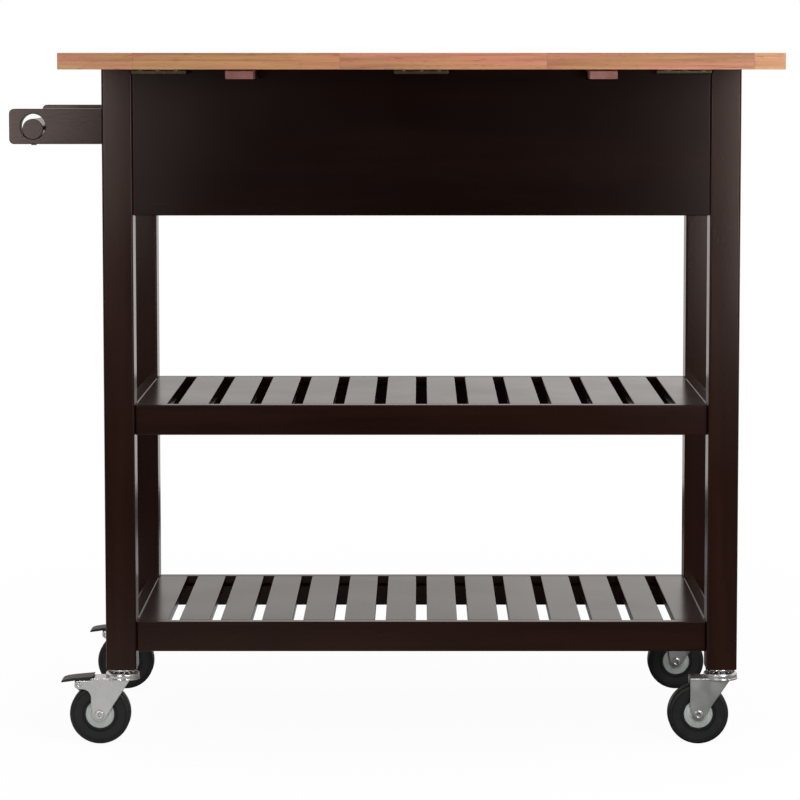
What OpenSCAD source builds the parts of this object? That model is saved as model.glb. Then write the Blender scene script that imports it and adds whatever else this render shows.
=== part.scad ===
// Kitchen island cart with a drop leaf, two slatted shelves, two drawers and swivel casters.
// +X is to the right of someone who stands at the leaf side, +Y points from the leaf side
// to the drawer side, and +Z is up. The origin is on the floor, under the middle of the cart.

/* [Frame] */
// Width over the posts
frame_w = 789; // [720:1:860]
// Depth over the posts
frame_d = 374; // [350:1:440]
// Height of the worktop above the floor
work_h = 864.5; // [820:0.5:940]
// Side of each square post
post = 38; // [36:1:44]
// Radius of the eased post edges
post_round = 3; // [1:0.5:5]
// Radius of the eased edges of rails, panels and slats
edge_round = 1.5; // [0.5:0.25:2.5]

/* [Worktop and leaf] */
// Thickness of the worktop and the leaf
board_t = 19; // [16:0.5:26]
// How far the worktop passes the posts at each end
end_overhang = 21.5; // [15:0.5:35]
// How far the worktop passes the posts on the leaf and drawer sides
side_overhang = 20; // [18:0.5:30]
// Depth of the drop leaf
leaf_d = 250; // [180:1:300]
// Gap between the worktop and the raised leaf
leaf_gap = 1; // [0.6:0.1:2]
// Radius of the eased long edges of the worktop and the leaf
board_round = 2; // [1:0.5:4]

/* [Leaf hinges] */
// Length of a hinge along its pin
hinge_l = 65; // [50:1:75]
// Distance from an outer hinge's end to the line of the post beside it
hinge_in = 2.5; // [1:0.5:30]
// Outer radius of the knuckles
knuckle_r = 3.2; // [2.8:0.1:4]
// Knuckles on each hinge
knuckle_count = 5; // [3:2:7]
// Radius of the hinge pin
hinge_pin_r = 1.5; // [1:0.1:1.8]
// Thickness of the hinge plates
plate_t = 1.5; // [1:0.1:2]
// Width of the plate under the worktop
top_plate_w = 17; // [14:0.5:18]
// Width of the plate under the leaf
leaf_plate_w = 25; // [18:0.5:35]

/* [Leaf supports] */
// Width of a support bar
bar_w = 34; // [26:0.5:44]
// Thickness of a support bar
bar_t = 12.2; // [10:0.1:14]
// Length of a support bar
bar_l = 200; // [170:1:220]
// How far a drawn support bar passes the hinge pin
bar_reach = 20; // [12:1:24]
// Fall of the ramp on the nose of a bar
ramp_fall = 2.2; // [2:0.1:4]
// Distance of the support bars from the middle
bar_x = 222; // [150:1:230]
// Thickness of the walls of a bar guide
guide_wall = 12; // [8:0.5:16]
// Thickness of the floor of a bar guide
guide_floor = 5; // [3:0.5:6]
// Length of a bar guide
guide_l = 240; // [150:1:300]
// Room at each side of a bar in the back panel
notch_room = 2.5; // [1:0.5:6]

/* [Drawer case] */
// Height of the back and side panels
panel_h = 181; // [160:1:220]
// Thickness of the back and side panels
panel_t = 16; // [12:0.5:18]
// How far the panels lie behind the post faces
panel_inset = 2; // [0:0.5:4]
// Height of the rail over the drawers
top_rail_h = 25; // [21:0.5:34]
// Height of the rail under the drawers
bottom_rail_h = 24; // [16:0.5:34]
// Thickness of the drawer rails and the divider
case_rail_t = 18; // [14:0.5:24]
// Width of the divider between the drawers
divider_w = 20; // [14:1:36]
// Thickness of a runner's ledge
runner_t = 12; // [8:0.5:15]
// Width of the ledge that carries a drawer side
ledge_w = 20; // [15:1:30]
// Height of a runner's guide wall above its ledge
runner_wall_h = 30; // [15:1:50]
// Length and depth of a worktop fixing block
block_l = 60; // [40:1:90]
block_d = 17; // [14:0.5:18]
// Height of a worktop fixing block
block_h = 20; // [15:0.5:30]

/* [Drawers] */
// Thickness of a drawer front
front_t = 18; // [14:0.5:22]
// Gap around a drawer front
front_gap = 2; // [1:0.25:3]
// Height of the drawer sides
box_h = 112; // [80:1:120]
// Thickness of the drawer sides and back
box_wall = 12; // [9:0.5:15]
// Side play of a drawer
box_play = 1.5; // [0.5:0.25:3]
// Room behind a closed drawer
box_back_room = 14; // [6:1:40]
// Thickness of the drawer bottom
box_floor_t = 5; // [3:0.5:8]
// Depth of the groove that holds the drawer bottom
groove_d = 6; // [3:0.5:7]
// Height of the drawer bottom above the lower edge of the sides
floor_lift = 8; // [5:0.5:14]
// Radius of a knob
knob_r = 15; // [10:0.5:20]
// How far a knob stands out
knob_l = 26; // [18:0.5:34]

/* [Shelves] */
// Height of the middle shelf's top
middle_top = 428; // [380:1:500]
// Height of the lower shelf's top
lower_top = 155; // [150:1:230]
// Height of the shelf rails
shelf_rail_h = 37.5; // [30:0.5:46]
// Thickness of the long shelf rails
shelf_rail_t = 14; // [12:0.5:18]
// How far the long shelf rails lie behind the post faces
shelf_inset = 10; // [2:0.5:12]
// Thickness of the end shelf rails
end_rail_t = 15; // [12:0.5:20]
// Slats in each shelf
slat_count = 14; // [10:1:16]
// Width of a slat
slat_w = 38; // [30:0.5:40]
// Thickness of a slat
slat_t = 12; // [9:0.5:16]
// Width of the ledger strips that carry the slats
ledger_w = 13; // [10:0.5:20]

/* [Towel bar] */
// How far a bracket stands out from its post
bracket_reach = 115; // [90:1:140]
// Height of a bracket
bracket_h = 43.5; // [41:0.5:60]
// Thickness of a bracket
bracket_t = 19; // [15:0.5:24]
// Radius of the outer corners of a bracket
bracket_round = 6; // [2:0.5:12]
// Distance from the underside of the worktop down to the middle of the brackets
bracket_drop = 71.2; // [64:0.1:100]
// Radius of the hole in a bracket
ring_r = 16; // [14:0.25:17]
// Distance from that hole's centre to the bracket's end
ring_edge = 29.5; // [24:0.5:40]
// Diameter of the towel rod
rod_d = 25.4; // [20:0.1:27]
// How far the rod passes each bracket
rod_past = 3; // [0.5:0.5:20]

/* [Casters] */
// Diameter of a wheel
wheel_d = 76; // [70:1:80]
// Width of a tyre
tyre_w = 22; // [18:0.5:24]
// Distance from the swivel axis to the wheel's axle
trail = 28; // [24:0.5:32]
// Room between the wheel and the top of the fork
wheel_room = 8; // [7.5:0.5:14]
// Height of the ball race between the fork and the post
race_h = 11.5; // [10.5:0.5:14]
// Outer radius of the ball race on the fork
race_r = 21.5; // [20:0.5:24]
// Radius of a bearing ball
ball_r = 2.2; // [1.6:0.1:2.4]
// Balls in each race
ball_count = 14; // [8:1:16]
// Radius of the stem that goes into the post
stem_r = 5; // [4:0.5:6]
// Length of the stem inside the post
stem_l = 30; // [20:1:40]
// Room between the cheeks of the fork
fork_gap = 25; // [24.6:0.2:30]
// Thickness of the fork's sheet steel
fork_t = 2; // [1.5:0.1:2.6]
// Radius of the fork's rounded foot around the axle
foot_r = 8; // [7.5:0.5:11]
// Distance from the axle to the upright rear edge of a cheek
heel_past = 10.5; // [8:0.5:12]
// How far the top of a cheek reaches in front of the swivel axis
cheek_front = 12; // [8:0.5:18]
// Radius of the wheel's axle bolt
axle_r = 3.25; // [3:0.25:5]
// Radius of the zinc hub discs
hub_r = 17.2; // [15:0.1:20]

/* [Brakes] */
// Radius of the ear that holds the brake pedal's pin
ear_r = 5.25; // [5:0.25:6]
// Distance from the wheel's axle to the pedal's pin, along the cart
brake_x = 26; // [24:0.5:28]
// Radius of the pedal's pin
brake_pin_r = 2; // [1.5:0.1:2.5]
// Width of the pedal
pedal_w = 28; // [22:0.5:34]

/* [Fits] */
// Radial clearance of a pin or axle that turns in its hole
pin_play = 0.06; // [0.02:0.01:0.1]
// Radial clearance of a dowel or screw in its hole
dowel_play = 0.05; // [0.02:0.01:0.1]
// Gap between wooden pieces that slide on each other
slide_play = 0.3; // [0.2:0.05:0.5]

/* [Hidden] */
$fn = 48;

// Paint, wood and metal
espresso = [0.17, 0.12, 0.11];
maple = [0.78, 0.58, 0.40];
birch = [0.66, 0.47, 0.40];
zinc = [0.68, 0.68, 0.66];
hub_zinc = [0.78, 0.79, 0.78];
rubber = [0.12, 0.12, 0.12];
pedal_black = [0.2, 0.2, 0.21];

// The frame's faces, measured from its own middle
half_w = frame_w / 2;
half_d = frame_d / 2;
inner_w = frame_w - 2 * post;
inner_d = frame_d - 2 * post;
post_x = half_w - post / 2;
post_y = half_d - post / 2;
under = work_h - board_t;
panel_face = half_d - panel_inset;

// The whole object's box, whose middle is the origin
low_x = -half_w - bracket_reach;
high_x = half_w + end_overhang;
low_y = -half_d - side_overhang - leaf_gap - leaf_d;
high_y = panel_face + knob_l;

// Leaf hinge: the pin lies under the gap between the worktop and the leaf
hinge_y = -half_d - side_overhang - leaf_gap / 2;
pin_drop = knuckle_r + 0.4;
hinge_z = under - pin_drop;
hinge_pitch = inner_w / 2 - hinge_in - hinge_l / 2;
knuckle_l = hinge_l / knuckle_count;
knuckle_play = 0.15;
wood_screw_r = 1.8;
screw_head_r = 3.3;
screw_head_t = 1.4;
hinge_screw_l = 13;

// Leaf supports
bar_nose = hinge_y - bar_reach;
bar_top = under - slide_play;
bar_low = bar_top - bar_t;
ramp_l = bar_reach + 2;

// Drawer case and drawers
case_low = under - panel_h;
ledge_z = case_low + bottom_rail_h;
opening_h = panel_h - top_rail_h - bottom_rail_h;
opening_w = (inner_w - divider_w) / 2;
drawer_x = (divider_w + opening_w) / 2;
back_face = -panel_face + panel_t;
case_rail_y = panel_face - case_rail_t;
side_face = half_w - panel_inset - panel_t;
block_screw_l = block_h + 11;
knob_screw_r = 2;

// Shelves
slat_step = (inner_w - slat_w) / (slat_count - 1);
shelf_rail_in = half_d - shelf_inset - shelf_rail_t;

// Dowels in the frame's joints
dowel_r = 4;
dowel_half = 15;
dowel_stagger = 8;
panel_dowel_in = 30;
bracket_dowel_gap = 12;

// Towel rod
bracket_z = under - bracket_drop;
ring_x = -half_w - bracket_reach + ring_edge;
rod_r = rod_d / 2;
rod_z = bracket_z - ring_r + rod_r + 0.1;
rod_screw_r = 1.5;
rod_screw_in = 8;

// Casters
wheel_r = wheel_d / 2;
fork_top = wheel_d + wheel_room;
post_low = fork_top + race_h;
race_disc_t = 2.2;
ball_play = 0.05;
ball_ring = race_r - 6.5;
ball_z = post_low - race_disc_t - ball_r - ball_play;
cheek_y = fork_gap / 2;
heel_x = -trail - heel_past;
bend_x = -trail / 2;
flare = 12;
side_room = 0.5;
hub_l = fork_gap - 2 * side_room;
hub_core_r = hub_r + 0.6;

// Brakes: the pin's place in its ear, and the lobe that presses on the tyre
brake_pin_x = -trail - brake_x;
brake_pin_z = fork_top - 8.2;
brake_turn = 22;
brake_gap = 0.4;
brake_drop = brake_pin_z - wheel_r;
lobe_arm = norm([brake_x, brake_drop]) - wheel_r - brake_gap;
lobe_angle = atan2(-brake_drop, brake_x) - brake_turn;

// Sides of the cart: left is -1, the leaf side is -1
LEFT = -1;
RIGHT = 1;
LEAF = -1;
DRAWER = 1;

// Moves a piece from the frame's middle to the part's origin
module placed() {
    translate([-(low_x + high_x) / 2, -(low_y + high_y) / 2, 0]) children();
}

// A rectangle with round corners, standing on its middle
module eased(w, h, r) {
    square([w - 2 * r, h], center = true);
    square([w, h - 2 * r], center = true);
    for (x = [-1, 1], y = [-1, 1])
        translate([x * (w / 2 - r), y * (h / 2 - r)]) circle(r = r, $fn = 24);
}

// Bars with eased long edges, from a low corner
module bar_along_x(low, size, r) {
    translate(low + size / 2)
        rotate([90, 0, 90])
            linear_extrude(size[0], center = true) eased(size[1], size[2], r);
}

module bar_along_y(low, size, r) {
    translate(low + size / 2)
        rotate([90, 0, 0])
            linear_extrude(size[1], center = true) eased(size[0], size[2], r);
}

module bar_along_z(low, size, r) {
    translate(low + size / 2)
        linear_extrude(size[2], center = true) eased(size[0], size[1], r);
}

// A round rod through a point, centred on it
module rod_x(at, r, l) {
    translate(at) rotate([0, 90, 0]) cylinder(r = r, h = l, center = true);
}

module rod_y(at, r, l) {
    translate(at) rotate([90, 0, 0]) cylinder(r = r, h = l, center = true);
}

// A pan head screw that points up, from the underside of what it holds
module screw_up(at, r, l) {
    translate(at) {
        cylinder(r = r, h = l);
        translate([0, 0, -screw_head_t]) cylinder(r = screw_head_r, h = screw_head_t);
    }
}

// ---- Frame joints ----

// Heights and depths of the dowels that run along X, at both ends of a rail
x_dowels = [
    for (z = [case_low + panel_dowel_in, under - panel_dowel_in]) [back_face - panel_t / 2, z],
    [panel_face - case_rail_t / 2, under - top_rail_h / 2],
    [panel_face - case_rail_t / 2, case_low + bottom_rail_h / 2],
    for (top = [middle_top, lower_top], side = [LEAF, DRAWER])
        [side * (shelf_rail_in + shelf_rail_t / 2), top - shelf_rail_h / 2 + dowel_stagger]];

// Places and heights of the dowels that run along Y, at both ends of a rail
y_dowels = [
    for (side = [LEFT, RIGHT], z = [case_low + panel_dowel_in, under - panel_dowel_in])
        [side * (side_face + panel_t / 2), z - dowel_stagger],
    for (side = [LEFT, RIGHT], top = [middle_top, lower_top])
        [side * (inner_w + end_rail_t) / 2, top - shelf_rail_h / 2 - dowel_stagger]];

module frame_dowels(play) {
    l = 2 * (dowel_half + play);
    for (d = x_dowels, side = [LEFT, RIGHT])
        rod_x([side * inner_w / 2, d[0], d[1]], dowel_r + play, l);
    for (d = y_dowels, side = [LEAF, DRAWER])
        rod_y([d[0], side * inner_d / 2, d[1]], dowel_r + play, l);
    for (side = [LEAF, DRAWER], up = [-1, 1])
        rod_x([-half_w, side * post_y, bracket_z + up * bracket_dowel_gap], dowel_r + play, l);
}

module dowels() {
    color(birch) placed() frame_dowels(0);
}

// A post with the bores of its dowels and of its caster's stem
module corner_post(side_x, side_y) {
    at = [side_x * post_x, side_y * post_y];
    color(espresso) placed() difference() {
        bar_along_z([at[0] - post / 2, at[1] - post / 2, post_low],
            [post, post, under - post_low], post_round);
        frame_dowels(dowel_play);
        translate([at[0], at[1], post_low - 1])
            cylinder(r = stem_r + dowel_play, h = stem_l + 2);
    }
}

// ---- Drawer case ----

// Leaf side panel, notched at its top edge where the support bars pass
module back_panel() {
    notch_low = bar_low - slide_play;
    color(espresso) placed() difference() {
        bar_along_x([-inner_w / 2, -panel_face, case_low], [inner_w, panel_t, panel_h], edge_round);
        for (side = [LEFT, RIGHT])
            translate([side * bar_x - bar_w / 2 - notch_room, -panel_face - 1, notch_low])
                cube([bar_w + 2 * notch_room, panel_t + 2, under - notch_low + 1]);
        frame_dowels(dowel_play);
    }
}

module side_panel(side) {
    middle = side * (side_face + panel_t / 2);
    color(espresso) placed() difference() {
        bar_along_y([middle - panel_t / 2, -inner_d / 2, case_low], [panel_t, inner_d, panel_h],
            edge_round);
        frame_dowels(dowel_play);
    }
}

module drawer_rails() {
    color(espresso) placed() difference() {
        for (r = [[case_low, bottom_rail_h], [under - top_rail_h, top_rail_h]])
            bar_along_x([-inner_w / 2, case_rail_y, r[0]], [inner_w, case_rail_t, r[1]], edge_round);
        frame_dowels(dowel_play);
    }
}

module drawer_divider() {
    color(espresso) placed()
        bar_along_z([-divider_w / 2, case_rail_y, ledge_z], [divider_w, case_rail_t, opening_h],
            edge_round);
}

// L-shaped runners along the side panels
module side_runners() {
    color(maple) placed() for (side = [LEFT, RIGHT]) {
        ledge_x = side * (inner_w - ledge_w) / 2;
        wall_t = side_face - inner_w / 2;
        wall_x = side * (inner_w + wall_t) / 2;
        translate([ledge_x - ledge_w / 2, back_face, ledge_z - runner_t])
            cube([ledge_w, case_rail_y - back_face, runner_t]);
        translate([wall_x - wall_t / 2, -inner_d / 2, ledge_z - runner_t])
            cube([wall_t, inner_d, runner_t + runner_wall_h]);
    }
}

// Runner between the drawers, a ledge on each side of its wall
module centre_runner() {
    length = case_rail_y - back_face;
    color(maple) placed() {
        translate([-divider_w / 2 - ledge_w, back_face, ledge_z - runner_t])
            cube([divider_w + 2 * ledge_w, length, runner_t]);
        translate([-divider_w / 2, back_face, ledge_z - runner_t])
            cube([divider_w, length, runner_t + runner_wall_h]);
    }
}

// ---- Worktop ----

block_y = inner_d / 4;

module block_screw_places() {
    for (side = [LEFT, RIGHT], y = [-block_y, block_y])
        translate([side * (side_face - block_d / 2), y, under - block_h]) children();
}

module guide_screw_places() {
    for (side = [LEFT, RIGHT], wall = [-1, 1], along = [0.15, 0.85])
        translate([side * bar_x + wall * (bar_w / 2 + slide_play + guide_wall / 2),
            back_face + along * guide_l, bar_low - slide_play - guide_floor]) children();
}

module hinge_screw_places(depth) {
    for (i = [-1, 0, 1], x = [-1, 0, 1])
        translate([i * hinge_pitch + x * hinge_l / 3, hinge_y + depth, under - plate_t]) children();
}

top_screw_depth = (pin_drop + top_plate_w) / 2;
leaf_screw_depth = -(pin_drop + leaf_plate_w) / 2;

module top_board() {
    color(maple) placed() difference() {
        bar_along_x([-high_x, -half_d - side_overhang, under],
            [2 * high_x, frame_d + 2 * side_overhang, board_t], board_round);
        top_screw_bores();
    }
}

// Everything that is screwed up into the fixed worktop
module top_screw_bores() {
    bore = wood_screw_r + dowel_play;
    block_screw_places() cylinder(r = bore, h = block_screw_l + 0.5);
    guide_screw_places() cylinder(r = bore, h = guide_screw_l + 0.5);
    hinge_screw_places(top_screw_depth) cylinder(r = bore, h = hinge_screw_l + 0.5);
}

guide_screw_l = bar_t + 2 * slide_play + guide_floor + 11;

module top_screws() {
    color(zinc) placed() {
        block_screw_places() screw_up([0, 0, 0], wood_screw_r, block_screw_l);
        guide_screw_places() screw_up([0, 0, 0], wood_screw_r, guide_screw_l);
        hinge_screw_places(top_screw_depth) screw_up([0, 0, 0], wood_screw_r, hinge_screw_l);
    }
}

module top_blocks() {
    color(maple) placed() difference() {
        for (side = [LEFT, RIGHT], y = [-block_y, block_y])
            translate([side * (side_face - block_d / 2) - block_d / 2, y - block_l / 2, under - block_h])
                cube([block_d, block_l, block_h]);
        top_screw_bores();
    }
}

// ---- Drop leaf and its hinges ----

module leaf_board() {
    color(maple) placed() difference() {
        bar_along_x([-high_x, low_y, under], [2 * high_x, leaf_d, board_t], board_round);
        hinge_screw_places(leaf_screw_depth)
            cylinder(r = wood_screw_r + dowel_play, h = hinge_screw_l + 0.5);
    }
}

// One half of a hinge: side 1 is under the worktop, side -1 under the leaf.
// The knuckles take turns, starting with the worktop's.
module hinge_half(side, width) {
    plate_from = pin_drop;
    difference() {
        union() {
            translate([-hinge_l / 2, side > 0 ? plate_from : -width, pin_drop - plate_t])
                cube([hinge_l, width - plate_from, plate_t]);
            for (i = [side > 0 ? 0 : 1 : 2 : knuckle_count - 1]) {
                from = -hinge_l / 2 + i * knuckle_l + knuckle_play / 2;
                length = knuckle_l - knuckle_play;
                translate([from, side > 0 ? 0 : -plate_from, pin_drop - plate_t])
                    cube([length, plate_from, plate_t]);
                translate([from, 0, 0]) rotate([0, 90, 0]) cylinder(r = knuckle_r, h = length);
            }
        }
        rod_x([0, 0, 0], hinge_pin_r + pin_play, hinge_l + 2);
    }
}

module hinge_places() {
    for (i = [-1, 0, 1]) translate([i * hinge_pitch, hinge_y, hinge_z]) children();
}

module hinge_top_plates() {
    color(zinc) placed() difference() {
        hinge_places() hinge_half(1, top_plate_w);
        hinge_screw_places(top_screw_depth) translate([0, 0, -1])
            cylinder(r = wood_screw_r + dowel_play, h = plate_t + 2);
    }
}

module hinge_leaf_plates() {
    color(zinc) placed() difference() {
        hinge_places() hinge_half(-1, leaf_plate_w);
        hinge_screw_places(leaf_screw_depth) translate([0, 0, -1])
            cylinder(r = wood_screw_r + dowel_play, h = plate_t + 2);
    }
}

module hinge_pins() {
    head_t = 0.8;
    color(zinc) placed() hinge_places() {
        rod_x([0, 0, 0], hinge_pin_r, hinge_l);
        for (side = [LEFT, RIGHT])
            rod_x([side * (hinge_l + head_t) / 2, 0, 0], hinge_pin_r + 0.8, head_t);
    }
}

module leaf_screws() {
    color(zinc) placed()
        hinge_screw_places(leaf_screw_depth) screw_up([0, 0, 0], wood_screw_r, hinge_screw_l);
}

// ---- Leaf supports ----

// A bar whose nose falls away, so that the leaf clears it while both move
module support_bar(side) {
    color(birch) placed()
        translate([side * bar_x, bar_nose, bar_top])
            rotate([90, 0, 90])
                linear_extrude(bar_w, center = true)
                    polygon([[0, -ramp_fall], [ramp_l, 0], [bar_l, 0], [bar_l, -bar_t], [0, -bar_t]]);
}

// U-shaped channels under the worktop
module bar_guides() {
    inside = bar_w + 2 * slide_play;
    channel_h = bar_t + 2 * slide_play;
    color(maple) placed() difference() {
        for (side = [LEFT, RIGHT])
            translate([side * bar_x, back_face, under]) {
                translate([-inside / 2 - guide_wall, 0, -channel_h - guide_floor])
                    cube([inside + 2 * guide_wall, guide_l, guide_floor]);
                for (wall = [-1, 1])
                    translate([wall * (inside + guide_wall) / 2 - guide_wall / 2, 0, -channel_h])
                        cube([guide_wall, guide_l, channel_h]);
            }
        top_screw_bores();
    }
}

// ---- Shelves ----

module shelf_frame(top) {
    low = top - shelf_rail_h;
    color(espresso) placed() difference() {
        union() {
            for (y = [-shelf_rail_in - shelf_rail_t, shelf_rail_in])
                bar_along_x([-inner_w / 2, y, low], [inner_w, shelf_rail_t, shelf_rail_h], edge_round);
            for (x = [-inner_w / 2 - end_rail_t, inner_w / 2])
                bar_along_y([x, -inner_d / 2, low], [end_rail_t, inner_d, shelf_rail_h], edge_round);
        }
        frame_dowels(dowel_play);
    }
}

// Strips inside the long rails that carry the slats
module shelf_ledgers(top) {
    low = top - shelf_rail_h;
    color(espresso) placed()
        for (y = [-shelf_rail_in, shelf_rail_in - ledger_w])
            translate([-inner_w / 2, y, low]) cube([inner_w, ledger_w, shelf_rail_h - slat_t]);
}

module shelf_slats(top) {
    color(espresso) placed()
        for (i = [0 : slat_count - 1])
            bar_along_y([-inner_w / 2 + i * slat_step, -shelf_rail_in, top - slat_t],
                [slat_w, 2 * shelf_rail_in, slat_t], edge_round);
}

// ---- Towel bar ----

module towel_bracket(side) {
    rod_hole = rod_screw_r + dowel_play;
    end_r = bracket_round;
    color(espresso) placed() difference() {
        translate([0, side * post_y, bracket_z])
            rotate([90, 0, 0])
                linear_extrude(bracket_t, center = true) {
                    translate([-half_w - bracket_reach + end_r, -bracket_h / 2])
                        square([bracket_reach - end_r, bracket_h]);
                    translate([-half_w - bracket_reach + bracket_h / 2, 0])
                        eased(bracket_h, bracket_h, end_r);
                }
        rod_y([ring_x, side * post_y, bracket_z], ring_r, bracket_t + 2);
        translate([ring_x, side * post_y, bracket_z - bracket_h / 2 - 1])
            cylinder(r = rod_hole, h = bracket_h / 2);
        frame_dowels(dowel_play);
    }
}

module towel_rod() {
    length = 2 * post_y + bracket_t + 2 * rod_past;
    color(espresso) placed() difference() {
        rod_y([ring_x, 0, rod_z], rod_r, length);
        for (side = [LEAF, DRAWER])
            translate([ring_x, side * post_y, rod_z - rod_r - 1])
                cylinder(r = rod_screw_r + dowel_play, h = rod_screw_in + 1.5);
    }
}

module rod_screws() {
    low = bracket_z - bracket_h / 2;
    color(zinc) placed()
        for (side = [LEAF, DRAWER])
            screw_up([ring_x, side * post_y, low], rod_screw_r, rod_z - rod_r + rod_screw_in - low);
}

// ---- Drawers ----

front_w = opening_w - 2 * front_gap;
front_h = opening_h - 2 * front_gap;
front_mid_z = ledge_z + opening_h / 2;
box_w = opening_w - 2 * box_play;
box_low = ledge_z + slide_play;
box_back = back_face + box_back_room;
box_front = panel_face - front_t;
knob_base_t = knob_l * 0.45;

module knob_bore(side, r, l) {
    rod_y([side * drawer_x, panel_face, front_mid_z], r, l);
}

module drawer_front(side) {
    color(espresso) placed() difference() {
        bar_along_x([side * drawer_x - front_w / 2, box_front, ledge_z + front_gap],
            [front_w, front_t, front_h], edge_round);
        knob_bore(side, knob_screw_r + dowel_play, 2 * front_t + 2);
    }
}

// Sides and back, with a bottom panel held in their grooves
module drawer_box(side) {
    floor_z = box_low + floor_lift;
    depth = box_front - box_back;
    inside = box_w - 2 * box_wall;
    panel_w = inside + 2 * (groove_d - dowel_play);
    color(maple) placed() translate([side * drawer_x, 0, 0]) {
        difference() {
            for (x = [-1, 1])
                translate([x * (inside + box_wall) / 2 - box_wall / 2, box_back, box_low])
                    cube([box_wall, depth, box_h]);
            translate([-inside / 2 - groove_d, box_back + box_wall, floor_z])
                cube([inside + 2 * groove_d, depth, box_floor_t]);
        }
        translate([-inside / 2, box_back, box_low]) cube([inside, box_wall, box_h]);
        translate([-panel_w / 2, box_back + box_wall, floor_z])
            cube([panel_w, depth - box_wall, box_floor_t]);
    }
}

// Turned knob with the screw that holds it from inside the drawer
module drawer_knob(side) {
    screw_in = 12;
    color(zinc) placed() {
        difference() {
            translate([side * drawer_x, panel_face, front_mid_z])
                rotate([-90, 0, 0]) rotate_extrude($fn = 64) knob_profile();
            knob_bore(side, knob_screw_r + dowel_play, 2 * screw_in + 1);
        }
        translate([side * drawer_x, box_front, front_mid_z]) rotate([-90, 0, 0]) {
            cylinder(r = knob_screw_r, h = front_t + screw_in);
            translate([0, 0, -screw_head_t]) cylinder(r = 2 * knob_screw_r, h = screw_head_t);
        }
    }
}

module knob_profile() {
    rim = 4;
    square([knob_r * 0.55, 3]);
    square([knob_r * 0.4, knob_base_t + 2]);
    translate([0, knob_base_t]) square([knob_r - rim, knob_l - knob_base_t]);
    translate([0, knob_base_t + rim]) square([knob_r, knob_l - knob_base_t - 2 * rim]);
    for (z = [knob_base_t + rim, knob_l - rim])
        translate([knob_r - rim, z]) circle(r = rim, $fn = 32);
}

// ---- Casters ----

module at_caster(side_x, side_y) {
    placed() translate([side_x * post_x, side_y * post_y, 0]) children();
}

module all_casters() {
    for (x = [LEFT, RIGHT], y = [LEAF, DRAWER]) at_caster(x, y) children();
}

// Stem, upper race and king pin in one piece, riveted over under the fork
module caster_stems() {
    rivet_t = 2.5;
    rivet_low = fork_top - fork_t - pin_play - rivet_t;
    color(zinc) all_casters() {
        translate([0, 0, rivet_low]) {
            cylinder(r = stem_r, h = post_low + stem_l - rivet_low);
            cylinder(r = stem_r + 3, h = rivet_t);
        }
        translate([0, 0, post_low - race_disc_t]) cylinder(r = race_r - 3, h = race_disc_t);
    }
}

module caster_balls() {
    color(zinc) all_casters()
        for (i = [1 : ball_count])
            rotate([0, 0, i * 360 / ball_count]) translate([ball_ring, 0, ball_z]) sphere(r = ball_r);
}

// Where the line from point p touches the lower side of the circle at c
function touch(p, c, r) =
    let (to = p - c, turn = atan2(to[1], to[0]) - acos(r / norm(to)))
        c + r * [cos(turn), sin(turn)];

// One cheek of a fork seen from the side, with the brake's ear if it has one
module cheek_outline(braked) {
    axle = [-trail, wheel_r];
    corner = [cheek_front, fork_top];
    ear_fillet = 11;
    polygon([[heel_x, fork_top], corner, touch(corner, axle, foot_r), axle,
        axle - [foot_r, 0], [heel_x, wheel_r + 14]]);
    translate(axle) circle(r = foot_r);
    if (braked) {
        translate([brake_pin_x, brake_pin_z]) circle(r = ear_r);
        translate([brake_pin_x, brake_pin_z - ear_r]) square([heel_x - brake_pin_x + 1, 2 * ear_r]);
        difference() {
            translate([heel_x - ear_fillet, brake_pin_z - ear_r - ear_fillet])
                square([ear_fillet + 1, ear_fillet + 1]);
            translate([heel_x - ear_fillet, brake_pin_z - ear_r - ear_fillet])
                circle(r = ear_fillet);
        }
    }
}

// Sheet steel fork: two cheeks that flare towards the race, a bridge and the lower race
module fork(braked) {
    bridge_l = race_r / 2 - heel_x;
    big = 4 * wheel_d;
    difference() {
        union() {
            for (side = [-1, 1])
                translate([0, side * cheek_y, 0]) {
                    cheek_sheet(side) intersection() {
                        cheek_outline(braked);
                        translate([bend_x - big, 0]) square(big);
                    }
                    translate([bend_x, 0, 0]) rotate([0, 0, side * flare]) translate([-bend_x, 0, 0])
                        cheek_sheet(side) intersection() {
                            cheek_outline(braked);
                            translate([bend_x, 0]) square(big);
                        }
                }
            translate([heel_x, -cheek_y - fork_t, fork_top - fork_t])
                cube([bridge_l, fork_gap + 2 * fork_t, fork_t]);
            rotate_extrude($fn = 72) lower_race();
        }
        translate([0, 0, fork_top - race_r]) cylinder(r = stem_r + pin_play, h = 2 * race_r);
        rod_y([-trail, 0, wheel_r], axle_r + dowel_play, 2 * fork_gap);
        if (braked) rod_y([brake_pin_x, 0, brake_pin_z], brake_pin_r + dowel_play, 2 * fork_gap);
    }
}

module cheek_sheet(side) {
    translate([0, side > 0 ? fork_t : 0, 0])
        rotate([90, 0, 0]) linear_extrude(fork_t) children();
}

// Half section of the lower race: a plate, and a domed cup that holds the balls
module lower_race() {
    low = fork_top - fork_t;
    cup_r = race_r - 0.6;
    cup_in = ball_ring + ball_r + 0.4;
    dome_r = cup_r - cup_in;
    floor_z = ball_z - ball_r - ball_play;
    translate([0, low]) square([race_r, fork_t]);
    translate([0, low]) square([cup_in + 0.5, floor_z - low]);
    translate([cup_in, low]) square([dome_r, ball_z - dome_r - low]);
    intersection() {
        translate([cup_in, ball_z - dome_r]) circle(r = dome_r, $fn = 64);
        translate([cup_in, low]) square(4 * dome_r);
    }
}

module caster_fork(side_x, side_y, braked) {
    color(zinc) at_caster(side_x, side_y) fork(braked);
}

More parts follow.
